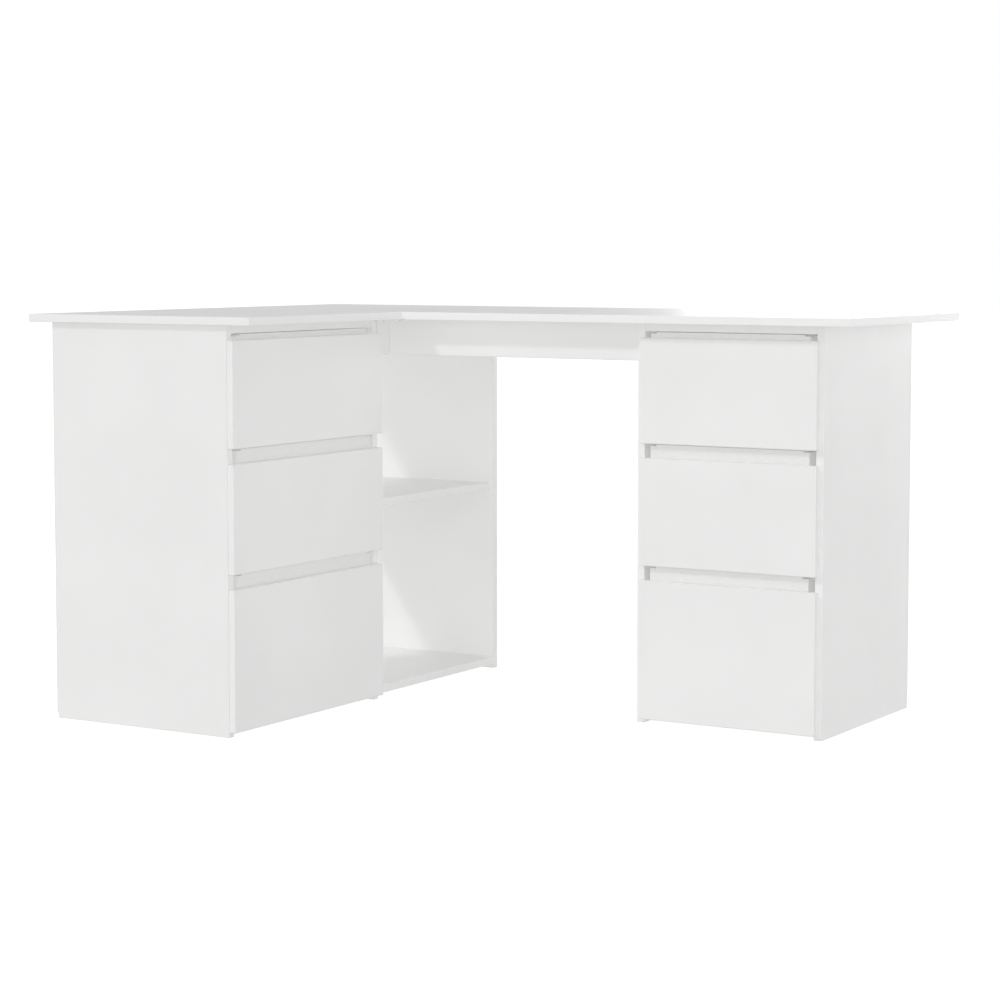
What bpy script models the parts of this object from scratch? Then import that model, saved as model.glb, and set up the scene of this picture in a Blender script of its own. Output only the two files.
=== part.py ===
"""Corner desk: an L-shaped top on a return unit and a drawer pedestal.

Units are metres and +Z is up. The desk's origin is on the floor, under the
middle of its outer box. +X runs along the long top and +Y to the wall.
The return unit stands under the short arm of the L, along the left edge. Its
drawers and its open shelves face +X. The pedestal stands under the right end
of the long top, and its drawers face -Y, to the person at the desk.

Each unit is laid out in its own frame, held by an empty: x across the unit
from its left side, y inwards from the plane of its side panels' front edges,
z up from the floor.
"""

import math

import bmesh
import bpy
from mathutils import Vector

COLLECTION_NAME = "corner_desk"

# Whole desk
DESK_LENGTH = 1.450
DESK_DEPTH = 1.000
DESK_HEIGHT = 0.760
BOARD = 0.015
FIT = 0.0003
EDGE_RADIUS = 0.001
EDGE_SEGMENTS = 2

# Top
RETURN_TOP_WIDTH = 0.512
UNDERSIDE = DESK_HEIGHT - BOARD
PANEL_TOP = UNDERSIDE - FIT

# Carcass of both units
SIDE_DEPTH = 0.402
BACK_BOARD = 0.003
FLOOR_CLEARANCE = 0.009
FLOOR_TOP = FLOOR_CLEARANCE + BOARD
BACK_INSET = 0.001
STRETCHER_SETBACK = 0.001
STRETCHER_DEPTH = 0.080
RAIL_HEIGHT = 0.070
RAIL_BOTTOM = UNDERSIDE - RAIL_HEIGHT

# Return unit: its drawer bay comes first, then the open shelf bay
RETURN_FRONT_X = 0.4515
RETURN_LEFT_Y = 0.012
DRAWER_BAY = 0.452
SHELF_BAY = 0.436
PARTITION_X = BOARD + DRAWER_BAY
SHELF_BAY_X = PARTITION_X + BOARD
RETURN_WIDTH = SHELF_BAY_X + SHELF_BAY + BOARD
SHELF_SETBACK = 0.010
SHELF_BOTTOM = (FLOOR_TOP + UNDERSIDE - BOARD) / 2

# The joint between the two top boards runs over the middle of the partition
TOP_JOINT_Y = RETURN_LEFT_Y + PARTITION_X + BOARD / 2

# Pedestal
PEDESTAL_LEFT_X = 1.0045
PEDESTAL_FRONT_Y = 0.534
PEDESTAL_BAY = 0.345
PEDESTAL_WIDTH = PEDESTAL_BAY + 2 * BOARD
PEDESTAL_FRONT_INSET = 0.009

# Rail across the knee space
KNEE_RAIL_Y = 0.537

# Drawers, numbered from the top one down
FRONT_HEIGHTS = (0.195, 0.200, 0.260)
FRONT_GAP = 0.027
FRONT_BOARD = 0.012
FRONT_STANDOFF = 0.0008
BOX_BOARD = 0.012
BOX_LENGTH = 0.350
BOX_HEIGHTS = (0.196, 0.216, 0.256)
BOX_RISE = (0.007, 0.007, 0.027)
BOX_BOTTOM_RISE = 0.010
BOX_BOTTOM_BOARD = 0.003
RUNNER_SPACE = 0.0125

# Cabinet members of the drawer runners: a steel channel open to the drawer
RUNNER_LENGTH = 0.350
RUNNER_SETBACK = 0.002
RUNNER_HEIGHT = 0.024
RUNNER_RISE = 0.004
RUNNER_REACH = 0.010
RUNNER_STEEL = 0.0012


def clear_scene():
    """Remove every object that the scene starts with."""
    for existing in list(bpy.data.objects):
        bpy.data.objects.remove(existing, do_unlink=True)


def make_material(name, color, roughness, metallic=0.0):
    """Make a plain Principled material."""
    material = bpy.data.materials.new(name)
    material.use_nodes = True
    shader = material.node_tree.nodes["Principled BSDF"]
    shader.inputs["Base Color"].default_value = (*color, 1.0)
    shader.inputs["Roughness"].default_value = roughness
    shader.inputs["Metallic"].default_value = metallic
    return material


def make_frame(collection, name, location, parent=None, turn=0.0):
    """Make an empty that carries a unit or a drawer."""
    frame = bpy.data.objects.new(name, None)
    frame.location = location
    frame.rotation_euler = (0.0, 0.0, turn)
    frame.parent = parent
    collection.objects.link(frame)
    return frame


def make_board(collection, name, parent, low, high, material, soft_edges=False):
    """Make a rectangular board between two corners of its parent's frame."""
    low = Vector(low)
    size = Vector(high) - low
    mesh = bpy.data.meshes.new(name)
    shape = bmesh.new()
    bmesh.ops.create_cube(shape, size=1.0)
    bmesh.ops.scale(shape, vec=size, verts=shape.verts)
    shape.to_mesh(mesh)
    shape.free()
    board = bpy.data.objects.new(name, mesh)
    board.location = low + size / 2
    board.parent = parent
    mesh.materials.append(material)
    collection.objects.link(board)
    if soft_edges:
        bevel = board.modifiers.new("soft_edges", "BEVEL")
        bevel.width = EDGE_RADIUS
        bevel.segments = EDGE_SEGMENTS
    return board


def make_runner(collection, name, parent, wall_x, facing, bottom, material):
    """Make a cabinet runner member on a wall; facing is +1 or -1 across the unit."""
    foot = wall_x + facing * FIT
    web = foot + facing * RUNNER_STEEL
    lip = foot + facing * RUNNER_REACH
    top = bottom + RUNNER_HEIGHT
    outline = (
        (foot, bottom),
        (lip, bottom),
        (lip, bottom + RUNNER_STEEL),
        (web, bottom + RUNNER_STEEL),
        (web, top - RUNNER_STEEL),
        (lip, top - RUNNER_STEEL),
        (lip, top),
        (foot, top),
    )
    section = bpy.data.curves.new(name, "CURVE")
    section.dimensions = "2D"
    section.fill_mode = "BOTH"
    section.extrude = RUNNER_LENGTH / 2
    spline = section.splines.new("POLY")
    spline.points.add(len(outline) - 1)
    for point, (across, up) in zip(spline.points, outline):
        point.co = (across, up, 0.0, 1.0)
    spline.use_cyclic_u = True
    section.materials.append(material)
    runner = bpy.data.objects.new(name, section)
    runner.location = (0.0, RUNNER_SETBACK + RUNNER_LENGTH / 2, 0.0)
    runner.rotation_euler = (math.pi / 2, 0.0, 0.0)
    runner.parent = parent
    collection.objects.link(runner)
    return runner


def front_spans():
    """Work out each drawer front's lower and upper edge, the top drawer first."""
    spans = []
    low = FLOOR_CLEARANCE
    for height in reversed(FRONT_HEIGHTS):
        spans.insert(0, (low, low + height))
        low += height + FRONT_GAP
    return spans


def make_drawer(collection, name, unit, bay, front, span, box, materials):
    """Make one drawer: its front, a box of three boards and a thin bottom.

    bay is the clear width between the bay's walls, as (low, high) across the
    unit. front is the drawer front's own (low, high) across the unit, span its
    lower and upper edge, and box the height of the box's underside and top.
    """
    slide = make_frame(collection, name + "_slide", (sum(front) / 2, 0.0, span[0]), unit)
    origin = slide.location

    def place(part, low, high, material, soft_edges=False):
        """Add one board of the drawer, given in the unit's frame."""
        low = Vector(low) - origin
        high = Vector(high) - origin
        make_board(collection, name + part, slide, low, high, material, soft_edges)

    front_back = -FRONT_STANDOFF
    front_face = front_back - FRONT_BOARD
    box_front = front_back + FIT
    box_end = box_front + BOX_LENGTH
    outer = (bay[0] + RUNNER_SPACE, bay[1] - RUNNER_SPACE)
    inner = (outer[0] + BOX_BOARD, outer[1] - BOX_BOARD)
    bottom = box[0] + BOX_BOTTOM_RISE
    bottom_top = bottom + BOX_BOTTOM_BOARD
    place("_front", (front[0], front_face, span[0]), (front[1], front_back, span[1]),
          materials["front"], soft_edges=True)
    place("_side_left", (outer[0], box_front, box[0]), (inner[0], box_end, box[1]),
          materials["drawer_box"])
    place("_side_right", (inner[1], box_front, box[0]), (outer[1], box_end, box[1]),
          materials["drawer_box"])
    place("_back", (inner[0] + FIT, box_end - BOX_BOARD, bottom_top + FIT),
          (inner[1] - FIT, box_end, box[1]), materials["drawer_box"])
    place("_bottom", (inner[0] + FIT, box_front, bottom), (inner[1] - FIT, box_end, bottom_top),
          materials["hardboard"])


def make_drawer_stack(collection, prefix, unit, bay, front, materials):
    """Fill a bay with its three drawers and the runner members on its walls."""
    rows = zip(front_spans(), BOX_HEIGHTS, BOX_RISE)
    for number, (span, height, rise) in enumerate(rows, start=1):
        box = (span[0] + rise, span[0] + rise + height)
        make_drawer(collection, f"{prefix}_drawer_{number}", unit, bay, front, span, box, materials)
        runner = f"{prefix}_runner_{number}"
        bottom = box[0] + RUNNER_RISE
        make_runner(collection, runner + "_left", unit, bay[0], 1, bottom, materials["runner"])
        make_runner(collection, runner + "_right", unit, bay[1], -1, bottom, materials["runner"])


def make_side(collection, name, unit, left, material):
    """Make an upright board that stands on the floor and carries the top."""
    make_board(collection, name, unit, (left, 0.0, 0.0), (left + BOARD, SIDE_DEPTH, PANEL_TOP), material)


def make_bay_floor(collection, name, unit, bay, material):
    """Make the bottom board of a bay."""
    make_board(collection, name, unit, (bay[0] + FIT, 0.0, FLOOR_CLEARANCE),
               (bay[1] - FIT, SIDE_DEPTH, FLOOR_TOP), material)


def make_drawer_bay(collection, prefix, unit, bay, width, materials):
    """Make the bottom board, flat stretcher and thin back of a drawer bay."""
    make_bay_floor(collection, prefix + "_drawer_bay_floor", unit, bay, materials["board"])
    make_board(collection, prefix + "_drawer_bay_stretcher", unit,
               (bay[0] + FIT, STRETCHER_SETBACK, PANEL_TOP - BOARD),
               (bay[1] - FIT, STRETCHER_SETBACK + STRETCHER_DEPTH, PANEL_TOP), materials["board"])
    back = SIDE_DEPTH + FIT
    make_board(collection, prefix + "_back_panel", unit, (BACK_INSET, back, FLOOR_CLEARANCE),
               (width - BACK_INSET, back + BACK_BOARD, PANEL_TOP), materials["hardboard"])


def make_return_unit(collection, desk, materials):
    """Make the unit under the short arm: three drawers and two open shelves."""
    unit = make_frame(collection, "return_unit", (RETURN_FRONT_X, RETURN_LEFT_Y, 0.0), desk, math.pi / 2)
    board = materials["board"]
    make_side(collection, "return_side_front", unit, 0.0, board)
    make_side(collection, "return_partition", unit, PARTITION_X, board)
    make_side(collection, "return_side_rear", unit, RETURN_WIDTH - BOARD, board)

    drawer_bay = (BOARD, PARTITION_X)
    make_drawer_bay(collection, "return", unit, drawer_bay, SHELF_BAY_X, materials)
    make_drawer_stack(collection, "return", unit, drawer_bay, (0.0, SHELF_BAY_X), materials)

    shelf_bay = (SHELF_BAY_X, SHELF_BAY_X + SHELF_BAY)
    make_bay_floor(collection, "return_shelf_bay_floor", unit, shelf_bay, board)
    make_board(collection, "return_shelf", unit, (shelf_bay[0] + FIT, SHELF_SETBACK, SHELF_BOTTOM),
               (shelf_bay[1] - FIT, SIDE_DEPTH, SHELF_BOTTOM + BOARD), board)
    make_board(collection, "return_shelf_bay_rail", unit, (shelf_bay[0] + FIT, 0.0, RAIL_BOTTOM),
               (shelf_bay[1] - FIT, BOARD, PANEL_TOP), board)


def make_pedestal(collection, desk, materials):
    """Make the pedestal under the right end of the long top: three drawers."""
    unit = make_frame(collection, "pedestal", (PEDESTAL_LEFT_X, PEDESTAL_FRONT_Y, 0.0), desk)
    make_side(collection, "pedestal_side_left", unit, 0.0, materials["board"])
    make_side(collection, "pedestal_side_right", unit, PEDESTAL_WIDTH - BOARD, materials["board"])
    bay = (BOARD, BOARD + PEDESTAL_BAY)
    front = (PEDESTAL_FRONT_INSET, PEDESTAL_WIDTH - PEDESTAL_FRONT_INSET)
    make_drawer_bay(collection, "pedestal", unit, bay, PEDESTAL_WIDTH, materials)
    make_drawer_stack(collection, "pedestal", unit, bay, front, materials)


def make_top(collection, desk, materials):
    """Make the two boards of the L-shaped top and the rail across the knee space."""
    top = materials["board"]
    make_board(collection, "top_long_board", desk, (0.0, TOP_JOINT_Y + FIT / 2, UNDERSIDE),
               (DESK_LENGTH, DESK_DEPTH, DESK_HEIGHT), top, soft_edges=True)
    make_board(collection, "top_return_board", desk, (0.0, 0.0, UNDERSIDE),
               (RETURN_TOP_WIDTH, TOP_JOINT_Y - FIT / 2, DESK_HEIGHT), top, soft_edges=True)
    make_board(collection, "knee_rail", desk, (RETURN_FRONT_X + FIT, KNEE_RAIL_Y, RAIL_BOTTOM),
               (PEDESTAL_LEFT_X - FIT, KNEE_RAIL_Y + BOARD, PANEL_TOP), top)


def main():
    """Build the desk."""
    clear_scene()
    collection = bpy.data.collections.new(COLLECTION_NAME)
    bpy.context.scene.collection.children.link(collection)
    materials = {
        "board": make_material("white_board", (0.84, 0.84, 0.83), 0.45),
        "front": make_material("white_front", (0.84, 0.84, 0.83), 0.40),
        "drawer_box": make_material("white_drawer_box", (0.80, 0.80, 0.79), 0.50),
        "hardboard": make_material("white_hardboard", (0.78, 0.78, 0.77), 0.60),
        "runner": make_material("white_runner_steel", (0.75, 0.75, 0.74), 0.35),
    }
    desk = make_frame(collection, "desk", (-DESK_LENGTH / 2, -DESK_DEPTH / 2, 0.0))
    make_top(collection, desk, materials)
    make_return_unit(collection, desk, materials)
    make_pedestal(collection, desk, materials)


main()
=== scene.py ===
"""Looks of a white L-shaped corner desk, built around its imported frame.

The desk is flat-pack furniture of white melamine-faced board. A return unit
with three drawers and open shelves carries the short arm of the top, and a
three-drawer pedestal carries the right end of the long arm. Every board gets
its faces, its raw core and its edge banding, and the drawers get the fittings
that show when they are open: grooved box sides, roller runners, cam locks and
screws. Lengths are metres. A unit's own frame has x across it from its left
side, y inwards from the front edges of its side boards, and z up.
"""

import logging
import math
from collections.abc import Iterable, Sequence
from dataclasses import dataclass
from enum import Enum

import bmesh
import bpy
from bmesh.types import BMEdge, BMesh, BMVert
from mathutils import Matrix, Vector


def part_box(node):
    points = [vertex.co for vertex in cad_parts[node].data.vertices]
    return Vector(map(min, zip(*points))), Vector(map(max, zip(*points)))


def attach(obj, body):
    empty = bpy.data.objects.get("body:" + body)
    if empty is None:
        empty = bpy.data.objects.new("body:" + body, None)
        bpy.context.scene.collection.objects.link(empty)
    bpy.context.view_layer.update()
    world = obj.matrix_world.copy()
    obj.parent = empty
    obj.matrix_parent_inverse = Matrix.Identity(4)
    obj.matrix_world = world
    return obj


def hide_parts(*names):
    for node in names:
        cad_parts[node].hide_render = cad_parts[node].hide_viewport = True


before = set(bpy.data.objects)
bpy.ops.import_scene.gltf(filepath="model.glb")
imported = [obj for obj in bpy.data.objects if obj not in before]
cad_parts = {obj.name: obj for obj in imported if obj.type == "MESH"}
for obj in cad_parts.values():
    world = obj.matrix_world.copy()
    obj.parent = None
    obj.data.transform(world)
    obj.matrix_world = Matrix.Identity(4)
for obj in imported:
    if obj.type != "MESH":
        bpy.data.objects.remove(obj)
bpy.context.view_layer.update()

LOG = logging.getLogger("corner_desk")
CARCASS = "carcass"

MM = 0.001
# The gap between boards and fittings that meet, and smaller lengths that count as touching and as nothing.
CLEAR = 0.1 * MM
TOUCH = CLEAR / 10
HAIR = CLEAR / 100
# Faces that meet at more than this angle keep a sharp edge between them.
SHARP_ANGLE = math.radians(35.0)
# A normal with more than this share along a direction faces that way.
FACING = 0.5
# The values between which a noise pattern mostly keeps, for a value and for a colour.
NOISE_SPAN = (0.3, 0.7)
TINT_SPAN = (0.35, 0.65)
# The edging of the top and the drawer fronts: its thickness and the radius of its arrises.
THICK_BAND = 1.2 * MM
THICK_RADIUS = 1.1 * MM
# The distance of a cam lock from the joint that it draws tight.
CAM_SETBACK = 34.0 * MM

Color = tuple[float, float, float]
Triple = tuple[float, float, float]
Point2 = tuple[float, float]


class Slot(Enum):
    """The record's material slots."""

    TOP = "top"
    BOARD = "board"
    FRONT = "front"
    DRAWER_BOX = "drawer_box"
    HARDBOARD = "hardboard"
    RUNNER = "runner"


class Side(Enum):
    """The six sides of a board, as its outward direction in its unit's frame."""

    LEFT = (-1, 0, 0)
    RIGHT = (1, 0, 0)
    FRONT = (0, -1, 0)
    BACK = (0, 1, 0)
    BOTTOM = (0, 0, -1)
    TOP = (0, 0, 1)

    @property
    def axis(self) -> int:
        """The index of the axis that this side faces along."""
        return next(i for i, step in enumerate(self.value) if step)

    @property
    def outward(self) -> int:
        """1 where the side faces up its axis, and -1 where it faces down it."""
        return self.value[self.axis]


# ---------------------------------------------------------------- finishes


@dataclass(frozen=True)
class Grain:
    """A noise pattern.

    Attributes:
        scale: its features per metre.
        detail: its octaves of finer noise.
        stretch: the factor on each axis; under 1 draws the pattern out along that axis.
    """

    scale: float
    detail: float
    stretch: Triple = (1.0, 1.0, 1.0)


class NodeSheet:
    """A material's node tree, with short calls for the nodes that the finishes share."""

    def __init__(self, material: bpy.types.Material) -> None:
        """Open the tree of a material that has its Principled shader."""
        self.tree = material.node_tree
        self.shader = self.tree.nodes["Principled BSDF"]

    def add(self, kind: str, **inputs: float) -> bpy.types.Node:
        """Add a node and set its inputs.

        Args:
            kind: the node's type, such as "ShaderNodeTexNoise".
            **inputs: values by input name, with _ for a space.

        Returns:
            The new node.
        """
        node = self.tree.nodes.new(kind)
        for name, value in inputs.items():
            node.inputs[name.replace("_", " ")].default_value = value
        return node

    def link(self, source: bpy.types.NodeSocket, target: bpy.types.NodeSocket) -> None:
        """Join an output to an input."""
        self.tree.links.new(source, target)

    def coordinates(self, stretch: Triple = (1.0, 1.0, 1.0)) -> bpy.types.NodeSocket:
        """Give the piece's own coordinates in metres.

        Args:
            stretch: the factor on each axis; under 1 draws a pattern out along that axis.

        Returns:
            The mapped vector.
        """
        source = self.add("ShaderNodeTexCoord")
        mapping = self.add("ShaderNodeMapping")
        mapping.inputs["Scale"].default_value = stretch
        self.link(source.outputs["Object"], mapping.inputs["Vector"])
        return mapping.outputs["Vector"]

    def noise(self, grain: Grain) -> bpy.types.NodeSocket:
        """Give a grain's noise pattern.

        Args:
            grain: the pattern's size and stretch.

        Returns:
            The pattern's factor.
        """
        node = self.add("ShaderNodeTexNoise", Scale=grain.scale, Detail=grain.detail)
        self.link(self.coordinates(grain.stretch), node.inputs["Vector"])
        return node.outputs["Fac"]

    def cells(self, scale: float) -> bpy.types.Node:
        """Give a Voronoi pattern.

        Args:
            scale: its cells per metre.

        Returns:
            The pattern's node.
        """
        node = self.add("ShaderNodeTexVoronoi", Scale=scale)
        self.link(self.coordinates(), node.inputs["Vector"])
        return node

    def spread(self, factor: bpy.types.NodeSocket, low: float, high: float) -> bpy.types.NodeSocket:
        """Stretch a noise factor over a range of values.

        Args:
            factor: the pattern, which keeps mostly within NOISE_SPAN.
            low: the value at the span's start.
            high: the value at its end.

        Returns:
            The value's socket.
        """
        start, end = NOISE_SPAN
        node = self.add("ShaderNodeMapRange", From_Min=start, From_Max=end, To_Min=low, To_Max=high)
        self.link(factor, node.inputs["Value"])
        return node.outputs["Result"]

    def tint(self, factor: bpy.types.NodeSocket, first: Color, second: Color) -> None:
        """Colour the surface between two colours by a pattern.

        Args:
            factor: the pattern.
            first: the colour in its hollows.
            second: the colour on its crests.
        """
        ramp = self.add("ShaderNodeValToRGB")
        for stop, position, color in zip(ramp.color_ramp.elements, TINT_SPAN, (first, second)):
            stop.position = position
            stop.color = (*color, 1.0)
        self.link(factor, ramp.inputs["Fac"])
        self.link(ramp.outputs["Color"], self.shader.inputs["Base Color"])

    def bump(self, height: bpy.types.NodeSocket, distance: float, strength: float) -> None:
        """Raise the surface by a pattern.

        Args:
            height: the pattern.
            distance: the relief's height.
            strength: how far the relief turns the light.
        """
        node = self.add("ShaderNodeBump", Strength=strength, Distance=distance)
        self.link(height, node.inputs["Height"])
        self.link(node.outputs["Normal"], self.shader.inputs["Normal"])


def shaded(color: Color, factor: float) -> Color:
    """Give a colour made darker or lighter by a factor."""
    return tuple(min(1.0, channel * factor) for channel in color)


@dataclass(frozen=True)
class Finish:
    """A surface finish: a mottled colour, a drift of gloss and a fine relief.

    Attributes:
        name: the material's name.
        color: the base colour, in linear values.
        roughness: the shader's roughness, about which the gloss drifts.
        metallic: 1 for bare metal.
        mottle: the pattern of the colour.
        shades: the factors on the colour in the pattern's hollows and on its crests.
        gloss: the pattern of the gloss; None where it is even.
        swing: how far the roughness drifts down and up.
        relief: the pattern of the relief.
        depth: the relief's height.
        strength: how far the relief turns the light.
    """

    name: str
    color: Color
    roughness: float
    metallic: float = 0.0
    mottle: Grain = Grain(5.0, 3.0)
    shades: Point2 = (0.985, 1.01)
    gloss: Grain | None = None
    swing: Point2 = (0.03, 0.03)
    relief: Grain = Grain(1500.0, 3.0)
    depth: float = 0.05 * MM
    strength: float = 0.35

    def material(self) -> bpy.types.Material:
        """Give the finish's material, made once.

        Returns:
            The material.
        """
        made = bpy.data.materials.get(self.name)
        if made:
            return made
        made = bpy.data.materials.new(self.name)
        made.use_nodes = True
        sheet = NodeSheet(made)
        sheet.shader.inputs["Base Color"].default_value = (*self.color, 1.0)
        sheet.shader.inputs["Roughness"].default_value = self.roughness
        sheet.shader.inputs["Metallic"].default_value = self.metallic
        self.draw(sheet)
        return made

    def color_by(self, sheet: NodeSheet, pattern: bpy.types.NodeSocket) -> None:
        """Shade the colour by a pattern."""
        sheet.tint(pattern, *(shaded(self.color, factor) for factor in self.shades))

    def draw(self, sheet: NodeSheet) -> None:
        """Draw the mottle, the drift of gloss and the relief."""
        self.color_by(sheet, sheet.noise(self.mottle))
        if self.gloss:
            down, up = self.swing
            drift = sheet.spread(sheet.noise(self.gloss), self.roughness - down, self.roughness + up)
            sheet.link(drift, sheet.shader.inputs["Roughness"])
        sheet.bump(sheet.noise(self.relief), self.depth, self.strength)


@dataclass(frozen=True)
class Melamine(Finish):
    """Melamine resin paper pressed on board: faint clouds, and a fine pearl that breaks up the light."""

    gloss: Grain | None = Grain(14.0, 4.0)


@dataclass(frozen=True)
class EdgeBand(Finish):
    """Plastic edging: the long streaks that the extruder leaves, on a smoother face than the board's."""

    mottle: Grain = Grain(40.0, 2.0)
    shades: Point2 = (0.985, 1.0)
    gloss: Grain | None = Grain(60.0, 3.0)
    swing: Point2 = (0.04, 0.04)
    relief: Grain = Grain(900.0, 2.0, (0.08, 0.08, 1.0))
    depth: float = 0.03 * MM
    strength: float = 0.25


@dataclass(frozen=True)
class Foil(Finish):
    """Printed paper foil on a drawer box: flat, with short fibres along the board."""

    mottle: Grain = Grain(420.0, 4.0, (0.25, 0.25, 1.0))
    shades: Point2 = (0.975, 1.01)
    relief: Grain = Grain(700.0, 3.0, (0.3, 0.3, 1.0))
    depth: float = 0.06 * MM
    strength: float = 0.3


@dataclass(frozen=True)
class Chipboard(Finish):
    """The raw core of a board, where an edge has no banding.

    Attributes:
        chips: the chips per metre.
    """

    shades: Point2 = (0.62, 1.12)
    depth: float = 0.4 * MM
    strength: float = 0.6
    chips: float = 650.0

    def draw(self, sheet: NodeSheet) -> None:
        """Draw pressed chips, each of its own shade, with pits between them."""
        cells = sheet.cells(self.chips)
        shade = sheet.add("ShaderNodeRGBToBW")
        sheet.link(cells.outputs["Color"], shade.inputs["Color"])
        self.color_by(sheet, shade.outputs["Val"])
        sheet.bump(cells.outputs["Distance"], self.depth, self.strength)


@dataclass(frozen=True)
class Hardboard(Finish):
    """Thin hardboard with a lacquered face: fine felted fibre shows through."""

    mottle: Grain = Grain(260.0, 5.0)
    shades: Point2 = (0.95, 1.02)
    relief: Grain = Grain(1100.0, 4.0)
    depth: float = 0.08 * MM
    strength: float = 0.4


@dataclass(frozen=True)
class PowderCoat(Finish):
    """Baked powder on steel: a soft orange peel and a slight drift of gloss."""

    mottle: Grain = Grain(120.0, 3.0)
    shades: Point2 = (0.98, 1.0)
    gloss: Grain | None = Grain(200.0, 2.0)
    swing: Point2 = (0.05, 0.05)
    relief: Grain = Grain(800.0, 1.0)
    depth: float = 0.06 * MM
    strength: float = 0.4


@dataclass(frozen=True)
class Zinc(Finish):
    """Zinc plating or casting: clouded in colour and gloss, with a rough grain."""

    mottle: Grain = Grain(500.0, 4.0)
    shades: Point2 = (0.82, 1.06)
    gloss: Grain | None = Grain(350.0, 3.0)
    swing: Point2 = (0.1, 0.12)
    relief: Grain = Grain(1800.0, 2.0)
    depth: float = 0.04 * MM
    strength: float = 0.3


@dataclass(frozen=True)
class Nylon(Finish):
    """Moulded nylon: cloudy and a little translucent.

    Attributes:
        milk: the share of the light that goes into the surface.
        reach: how far that light goes.
    """

    mottle: Grain = Grain(300.0, 3.0)
    shades: Point2 = (0.96, 1.0)
    relief: Grain = Grain(1500.0, 2.0)
    depth: float = 0.03 * MM
    strength: float = 0.25
    milk: float = 0.15
    reach: float = 1.5 * MM

    def draw(self, sheet: NodeSheet) -> None:
        """Draw the cloudiness and let light into the surface."""
        sheet.shader.inputs["Subsurface Weight"].default_value = self.milk
        sheet.shader.inputs["Subsurface Scale"].default_value = self.reach
        super().draw(sheet)


WHITE = (0.84, 0.84, 0.835)
TOP_FACE = Melamine("white_melamine_top", WHITE, 0.36)
BOARD_FACE = Melamine("white_melamine", WHITE, 0.42)
FRONT_FACE = Melamine("white_melamine_front", WHITE, 0.38)
BANDING = EdgeBand("white_edging", (0.86, 0.86, 0.855), 0.34)
BOX_FOIL = Foil("white_box_foil", (0.80, 0.80, 0.79), 0.5)
CORE = Chipboard("raw_chipboard", (0.52, 0.37, 0.22), 0.85)
BACK_FACE = Hardboard("white_hardboard", (0.80, 0.80, 0.79), 0.6)
STEEL = PowderCoat("white_coated_steel", (0.78, 0.78, 0.77), 0.38)
ZINC = Zinc("zinc_plate", (0.66, 0.67, 0.69), 0.34, 1.0)
NYLON = Nylon("white_nylon", (0.84, 0.83, 0.78), 0.42)


# ---------------------------------------------------------------- places


@dataclass(frozen=True)
class Block:
    """A box between two corners, in a unit's frame."""

    low: Vector
    high: Vector

    @property
    def size(self) -> Vector:
        """The block's length along each axis."""
        return self.high - self.low

    @property
    def centre(self) -> Vector:
        """The block's middle."""
        return (self.low + self.high) / 2

    @property
    def thin(self) -> int:
        """The index of the axis that the board is thinnest along."""
        return min(range(3), key=lambda i: self.size[i])

    def face(self, side: Side) -> float:
        """Give the coordinate of one side along its own axis."""
        return self.high[side.axis] if side.outward > 0 else self.low[side.axis]

    def trimmed(self, sides: Iterable[Side], amount: float) -> "Block":
        """Cut the block back on some sides.

        Args:
            sides: the sides to cut.
            amount: how much comes off each.

        Returns:
            The smaller block.
        """
        low, high = self.low.copy(), self.high.copy()
        for side in sides:
            if side.outward > 0:
                high[side.axis] -= amount
            else:
                low[side.axis] += amount
        return Block(low, high)

    def strip(self, side: Side, thickness: float) -> "Block":
        """Take the layer of the block that lies along one side.

        Args:
            side: the side.
            thickness: the layer's thickness.

        Returns:
            The layer.
        """
        low, high = self.low.copy(), self.high.copy()
        if side.outward > 0:
            low[side.axis] = high[side.axis] - thickness
        else:
            high[side.axis] = low[side.axis] + thickness
        return Block(low, high)


@dataclass(frozen=True)
class UnitFrame:
    """A unit's own frame in the desk.

    Attributes:
        origin: the unit's left front corner on the floor, in the desk's frame.
        turn: how far the unit is turned about +Z, in radians.
    """

    origin: Vector
    turn: float

    @property
    def matrix(self) -> Matrix:
        """The transform from the unit's frame to the desk's."""
        return Matrix.Translation(self.origin) @ Matrix.Rotation(self.turn, 4, "Z")

    def block(self, node: str) -> Block:
        """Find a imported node's box.

        Args:
            node: the node's name.

        Returns:
            Its box in the unit's frame.
        """
        back = self.matrix.inverted()
        ends = [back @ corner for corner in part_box(node)]
        low = Vector([min(a, b) for a, b in zip(*ends)])
        high = Vector([max(a, b) for a, b in zip(*ends)])
        return Block(low, high)


DESK_FRAME = UnitFrame(Vector((0.0, 0.0, 0.0)), 0.0)


# ---------------------------------------------------------------- shapes


def slab(block: Block) -> BMesh:
    """Make a plain block.

    Args:
        block: its two corners.

    Returns:
        The shape.
    """
    shape = bmesh.new()
    bmesh.ops.create_cube(shape, size=1.0)
    bmesh.ops.scale(shape, vec=block.size, verts=shape.verts)
    bmesh.ops.translate(shape, vec=block.centre, verts=shape.verts)
    return shape


def round_edges(shape: BMesh, edges: Sequence[BMEdge], radius: float, segments: int = 3) -> None:
    """Round some edges of a shape to a radius."""
    bmesh.ops.bevel(shape, geom=list(edges), offset=radius, offset_type="OFFSET", segments=segments,
                    profile=0.5, affect="EDGES", clamp_overlap=True, material=-1)


def edges_on(shape: BMesh, side: Side, level: float) -> list[BMEdge]:
    """List the edges that lie wholly in one plane of a side."""
    return [e for e in shape.edges if all(abs(v.co[side.axis] - level) < TOUCH for v in e.verts)]


def soft_slab(block: Block, radius: float, segments: int = 3) -> BMesh:
    """Make a block with every edge rounded.

    Args:
        block: its two corners.
        radius: the edges' radius.
        segments: the facets in each rounding.

    Returns:
        The shape.
    """
    shape = slab(block)
    round_edges(shape, shape.edges[:], radius, segments)
    return shape


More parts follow.
